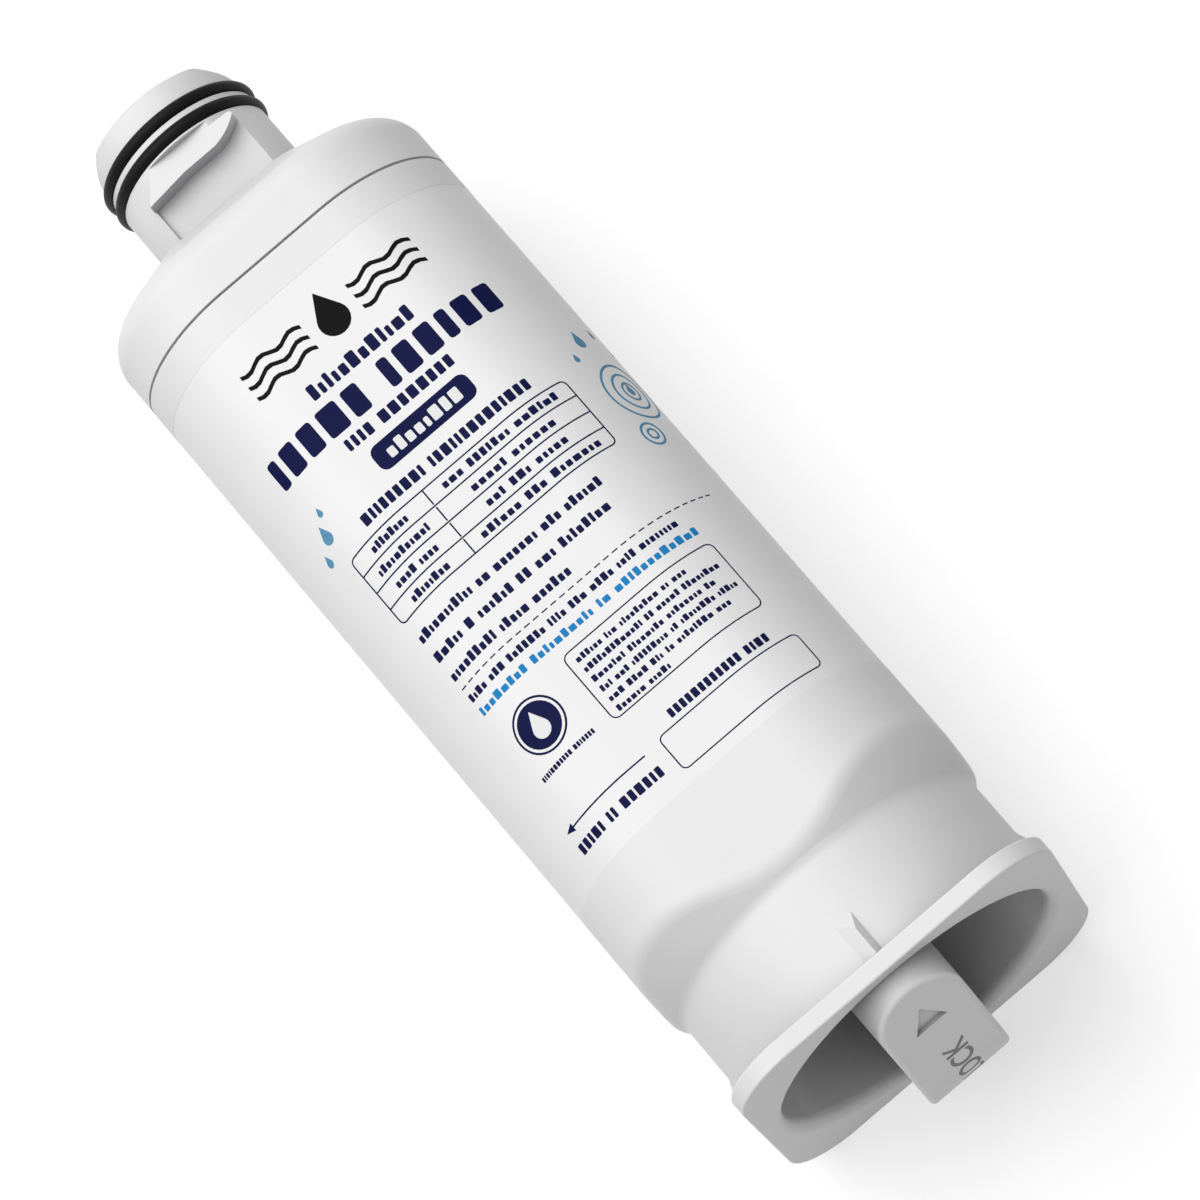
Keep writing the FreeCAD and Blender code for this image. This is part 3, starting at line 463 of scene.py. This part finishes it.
# Table of four rows, each with the words and width of its name and of its entry
TABLE_HEADING = (-17.6, 18.7, 41.1, 2.2, [9, 14])
TABLE_LEFT, TABLE_RIGHT, TABLE_DIVIDER = -24.4, 24.2, -6.6
TABLE_TOP, TABLE_BOTTOM = 43.8, 58.7
TABLE_LINE, TABLE_CORNER, TABLE_BLOCK = 0.28, 1.2, 1.6
TABLE_WORDS = [([8], 8.2, [3, 7, 6], 24.5), ([11], 11.8, [5, 6], 17.8),
               ([4, 4], 9.6, [3, 3, 5], 17.2), ([8], 8.6, [6, 3, 7], 25.4)]
row_height = (TABLE_BOTTOM - TABLE_TOP) / len(TABLE_WORDS)
table = type_row(*TABLE_HEADING, capitals=True)
table += frame_stroke(TABLE_LEFT, TABLE_TOP, TABLE_RIGHT, TABLE_BOTTOM, TABLE_CORNER, TABLE_LINE)
for row, (name, name_width, entry, entry_width) in enumerate(TABLE_WORDS):
    top = TABLE_TOP + row * row_height
    middle = top + row_height / 2
    if row:
        table.append(bar(TABLE_LEFT + TABLE_LINE, top - TABLE_LINE / 2,
                         TABLE_RIGHT - TABLE_LINE, top + TABLE_LINE / 2))
    table.append(bar(TABLE_DIVIDER - TABLE_LINE / 2, top + TABLE_LINE,
                     TABLE_DIVIDER + TABLE_LINE / 2, top + row_height - TABLE_LINE))
    for words, width, centre in ((name, name_width, (TABLE_LEFT + TABLE_DIVIDER) / 2),
                                 (entry, entry_width, (TABLE_DIVIDER + TABLE_RIGHT) / 2)):
        table += type_row(centre - width / 2, centre + width / 2, middle, TABLE_BLOCK, words)
print_ink("print_table", table, navy_ink)

# Three lines, a dashed rule, and a small and a blue line under it
TEXT_LEFT = -23.7
ADVICE_LINES = [(TEXT_LEFT, 17.0, 62.6, 1.9, [11, 2, 7, 3, 6]),
                (TEXT_LEFT, 15.4, 67.0, 1.9, [5, 1, 6, 2, 3, 8]),
                (TEXT_LEFT, 3.4, 71.3, 1.9, [9, 5, 6])]
SMALL_LINE = (TEXT_LEFT, 22.4, 76.3, 1.5, [4, 3, 7, 4, 3, 4, 4, 8])
BLUE_LINE = (TEXT_LEFT, 24.4, 79.3, 1.6, [8, 10, 2, 12])
DASH_PITCH, DASH_LENGTH, DASH_COUNT = 1.9, 1.2, 30
DASH_TOP, DASH_BOTTOM = 73.95, 74.2
advice = []
for line in ADVICE_LINES:
    advice += type_row(*line)
for dash in range(DASH_COUNT):
    place = TEXT_LEFT + dash * DASH_PITCH
    advice.append(bar(place, DASH_TOP, place + DASH_LENGTH, DASH_BOTTOM))
advice += type_row(*SMALL_LINE)
print_ink("print_advice", advice, navy_ink)
print_ink("print_address", type_row(*BLUE_LINE), blue_ink)

# Boxed note, round mark with its caption, and the box for a date
NOTE_LEFT, NOTE_FIRST, NOTE_PITCH, NOTE_BLOCK = -5.5, 84.3, 2.2, 1.2
NOTE_LINES = [(23.3, [6, 3, 9, 2, 3]), (28.6, [13, 2, 5, 8]), (26.0, [7, 8, 8, 2]),
              (29.0, [3, 3, 9, 2, 8, 5]), (25.8, [3, 4, 3, 2, 8, 3]), (11.2, [6, 5])]
NOTE_BOX, NOTE_CORNER = (-7.2, 82.2, 25.0, 96.7), 1.4
DATE_BOX, DATE_CORNER = (-3.8, 103.6, 26.0, 111.0), 1.2
BOX_LINE = 0.25
DATE_LINE = (0.3, 21.2, 101.8, 1.7, [12, 4])
MARK_CENTRE, MARK_RADIUS, MARK_LINE = (-17.1, 88.3), 5.0, 0.4
DISC_RADIUS, DISC_STEPS = 4.1, 32
MARK_CAPTION = (-23.1, -10.7, 95.4, 0.95, [11, 7])
MARK_DROP, MARK_DROP_RADIUS, MARK_DROP_TAIL = (-17.1, 89.1), 1.7, 3.7
note = frame_stroke(*NOTE_BOX, NOTE_CORNER, BOX_LINE)
for line, (length, words) in enumerate(NOTE_LINES):
    note += type_row(NOTE_LEFT, NOTE_LEFT + length, NOTE_FIRST + line * NOTE_PITCH, NOTE_BLOCK, words)
note += ring(MARK_CENTRE, MARK_RADIUS, MARK_LINE)
note.append(arc(MARK_CENTRE, DISC_RADIUS, 0, 360, DISC_STEPS)[:-1])
note += type_row(*MARK_CAPTION, capitals=True)
note += type_row(*DATE_LINE, capitals=True)
note += frame_stroke(*DATE_BOX, DATE_CORNER, BOX_LINE)
print_ink("print_note", note, navy_ink)
mark_drop = drop(MARK_DROP, MARK_DROP_RADIUS, MARK_DROP_TAIL)
print_ink("print_mark_drop", [mark_drop], white_ink, layer=1)

# Turning arrow and the bold line under it
ARROW_SHAFT = (-24.5, 104.35, -7.1, 104.65)
ARROW_HEAD = [(-26.4, 104.5), (-24.4, 103.7), (-24.4, 105.3)]
TURNING_LINE = (-26.4, -6.5, 108.2, 2.0, [5, 2, 6])
turning = [bar(*ARROW_SHAFT), ARROW_HEAD]
turning += type_row(*TURNING_LINE, capitals=True)
print_ink("print_turning", turning, navy_ink)

# Water at the label's sides: ripples and drops on the right, a few drops on the left
RIPPLES = [((36.0, 50.0), (2.2, 4.2, 6.4)), ((32.0, 59.5), (1.3, 2.6))]
RIPPLE_LINE = 0.5
DROPS = [((36.0, 50.0), 0.9), ((33.6, 38.2), 1.2), ((39.6, 36.6), 0.7), ((29.6, 41.4), 0.6),
         ((42.6, 40.6), 0.5), ((-24.6, 38.0), 1.2), ((-27.8, 41.0), 0.8), ((-22.6, 34.2), 0.6)]
DROP_TAIL_SHARE = 2.2
water = []
for centre, reaches in RIPPLES:
    for reach in reaches:
        water += ring(centre, reach, RIPPLE_LINE)
for centre, radius in DROPS:
    water.append(drop(centre, radius, radius * DROP_TAIL_SHARE))
print_ink("print_water", water, water_ink)


# The word on the turning bar

WORD_TALL = 4.6
# Heights over the floor
WORD_START, WORD_END = 31.3, 43.7
WORD_SHIFT = 0.4
STROKE_SPREAD = 0.012
WORD_RISE = 0.03
# The bar's crest and the slope beside it, as the solid has them
CREST_ROUND = 13.6
SLOPE_START = 4.65
SLOPE_ANGLE = 20
crest_place = cad_box[0].y / MM


def bar_face(height):
    """The place along Y of the turning bar's end face at that height, in millimetres."""
    off = abs(height - axis_height)
    on_round = min(off, SLOPE_START)
    fall = CREST_ROUND - math.sqrt(CREST_ROUND ** 2 - on_round ** 2)
    return crest_place + fall + (off - on_round) * math.tan(math.radians(SLOPE_ANGLE))


def on_bar(height, across, raised):
    """The place of a point of the word on the bar's end face, in metres."""
    reach = bar_face(height) - (WORD_RISE if raised else -WORD_RISE)
    return Vector((across, max(reach, crest_place), height)) * MM


def engraving_shade():
    """Painted shade for an engraving's floor: the wall's polypropylene in a dark grey that stands for the
    shade in the groove.
    """
    shade_patch = 0.5
    material, tree, output = finish_named("engraving_painted_shade")
    place = node(tree, "ShaderNodeTexCoord")
    shade_noise = node(tree, "ShaderNodeTexNoise",
                  {"Vector": (place, "Object"), "Scale": per_size(shade_patch), "Detail": 3.0})
    # The dark grey is painted shade, varied in patches of 0.5 mm
    tone = node(tree, "ShaderNodeMix",
                {"Factor": (shade_noise, "Fac"), "A": linear("#7C7C7D"), "B": linear("#8A8A8B")},
                data_type="RGBA")
    shader = node(tree, "ShaderNodeBsdfPrincipled",
                  {"Base Color": (tone, "Result"), "Roughness": 0.6, "IOR": POLYPROPYLENE_IOR})
    tree.links.new(shader.outputs["BSDF"], output.inputs["Surface"])
    return material


def engraved_word():
    """The word LOCK along the bar's end face, as a thin dark layer of painted shade that stands for the
    engraving.
    """
    letters = bpy.data.curves.new("word_outline", "FONT")
    letters.body = "LOCK"
    letters.offset = STROKE_SPREAD
    holder = bpy.data.objects.new("word_outline", letters)
    bpy.context.scene.collection.objects.link(holder)
    flat = bpy.data.meshes.new_from_object(holder)
    bpy.data.objects.remove(holder)
    word = bmesh.new()
    word.from_mesh(flat)
    bpy.data.meshes.remove(flat)
    low = Vector([min(corner.co[axis] for corner in word.verts) for axis in range(3)])
    high = Vector([max(corner.co[axis] for corner in word.verts) for axis in range(3)])
    for corner in word.verts:
        along = (corner.co.x - low.x) / (high.x - low.x)
        up = (corner.co.y - low.y) / (high.y - low.y)
        height = WORD_START + along * (WORD_END - WORD_START)
        corner.co = (height, WORD_SHIFT + (0.5 - up) * WORD_TALL, 0)
    # A cut every millimetre lets the word follow the crest's round
    cut_across(word, [WORD_START + step for step in range(1, math.ceil(WORD_END - WORD_START))])
    bmesh.ops.remove_doubles(word, verts=word.verts[:], dist=MERGE_REACH)
    lay_drawing("engraved_word", word, on_bar, engraving_shade())


engraved_word()


# Studio: floor, world, lamps and camera

FLOOR_HALF = 4.0
floor_corners = [(x * FLOOR_HALF, y * FLOOR_HALF, 0) for x, y in ((-1, -1), (1, -1), (1, 1), (-1, 1))]
floor_mesh = bpy.data.meshes.new("studio_floor")
floor_mesh.from_pydata(floor_corners, [], [(0, 1, 2, 3)])
floor = bpy.data.objects.new("studio_floor", floor_mesh)
bpy.context.scene.collection.objects.link(floor)


def seen_directly(tree):
    """One for rays that show the surface to the eye: straight, mirrored or through glass."""
    path = node(tree, "ShaderNodeLightPath")
    mirrored = node(tree, "ShaderNodeMath", {0: (path, "Is Camera Ray"), 1: (path, "Is Glossy Ray")},
                    operation="ADD")
    return node(tree, "ShaderNodeMath", {0: (mirrored, "Value"), 1: (path, "Is Transmission Ray")},
                operation="ADD", use_clamp=True)


def studio_paper():
    """Matt white background paper, which shows as white with a soft shadow and throws less light back."""
    material, tree, output = finish_named("background_paper_matt")
    shown = seen_directly(tree)
    lit = node(tree, "ShaderNodeBsdfDiffuse", {"Color": linear("#D6D6D6")})
    glow = node(tree, "ShaderNodeEmission", {"Strength": 0.52})
    bright = node(tree, "ShaderNodeAddShader", {0: (lit, "BSDF"), 1: (glow, "Emission")})
    dull = node(tree, "ShaderNodeBsdfDiffuse", {"Color": linear("#A8A8A8")})
    paper = node(tree, "ShaderNodeMixShader",
                 {"Fac": (shown, "Value"), 1: (dull, "BSDF"), 2: (bright, "Shader")})
    tree.links.new(paper.outputs["Shader"], output.inputs["Surface"])
    return material


floor_mesh.materials.append(studio_paper())

WORLD_LEVEL = 0.25
world = bpy.data.worlds.new("studio")
world.use_nodes = True
world.node_tree.nodes.clear()
sky_shown = seen_directly(world.node_tree)
sky_level = node(world.node_tree, "ShaderNodeMapRange",
                 {"Value": (sky_shown, "Value"), "To Min": WORLD_LEVEL, "To Max": 1.0})
sky = node(world.node_tree, "ShaderNodeBackground", {"Strength": (sky_level, "Result")})
node(world.node_tree, "ShaderNodeOutputWorld", {"Surface": (sky, "Background")})
bpy.context.scene.world = world

# Square lamps: the direction that each stands in, its side in metres and its power in watts
LAMP_DISTANCE = 2.4
LAMPS = {
    "key_lamp": (Vector((-0.17, 0.27, 0.6)), 3.4, 72.0),
    "fill_lamp": (Vector((0.0, -0.9, 0.45)), 2.0, 8.0),
}
for name, (direction, side, power) in LAMPS.items():
    light = bpy.data.lights.new(name, "AREA")
    light.shape = "SQUARE"
    light.size = side
    light.energy = power
    lamp = bpy.data.objects.new(name, light)
    lamp.location = direction.normalized() * LAMP_DISTANCE
    lamp.rotation_mode = "QUATERNION"
    lamp.rotation_quaternion = (-direction).to_track_quat("-Z", "Y")
    bpy.context.scene.collection.objects.link(lamp)

# The camera is fitted to the cartridge's edges, seam and seals: millimetres in the frame, roll in degrees
CAMERA_PLACE = Vector((-6.428, -383.007, 1111.224)) * MM
CAMERA_AIM = Vector((4.291, -7.869, 33.0)) * MM
CAMERA_ROLL = -39.004
CAMERA_LENS = 201.687
SENSOR_WIDTH = 36.0
NEAR_CLIP = 10
lens = bpy.data.cameras.new("photo_camera")
lens.lens = CAMERA_LENS
lens.sensor_width = SENSOR_WIDTH
lens.clip_start = NEAR_CLIP * MM
camera = bpy.data.objects.new("photo_camera", lens)
camera.location = CAMERA_PLACE
camera.rotation_mode = "QUATERNION"
camera.rotation_quaternion = ((CAMERA_AIM - CAMERA_PLACE).to_track_quat("-Z", "Y")
                              @ Quaternion((0, 0, 1), math.radians(CAMERA_ROLL)))
bpy.context.scene.collection.objects.link(camera)
bpy.context.scene.camera = camera
bpy.context.scene.view_settings.view_transform = "Standard"
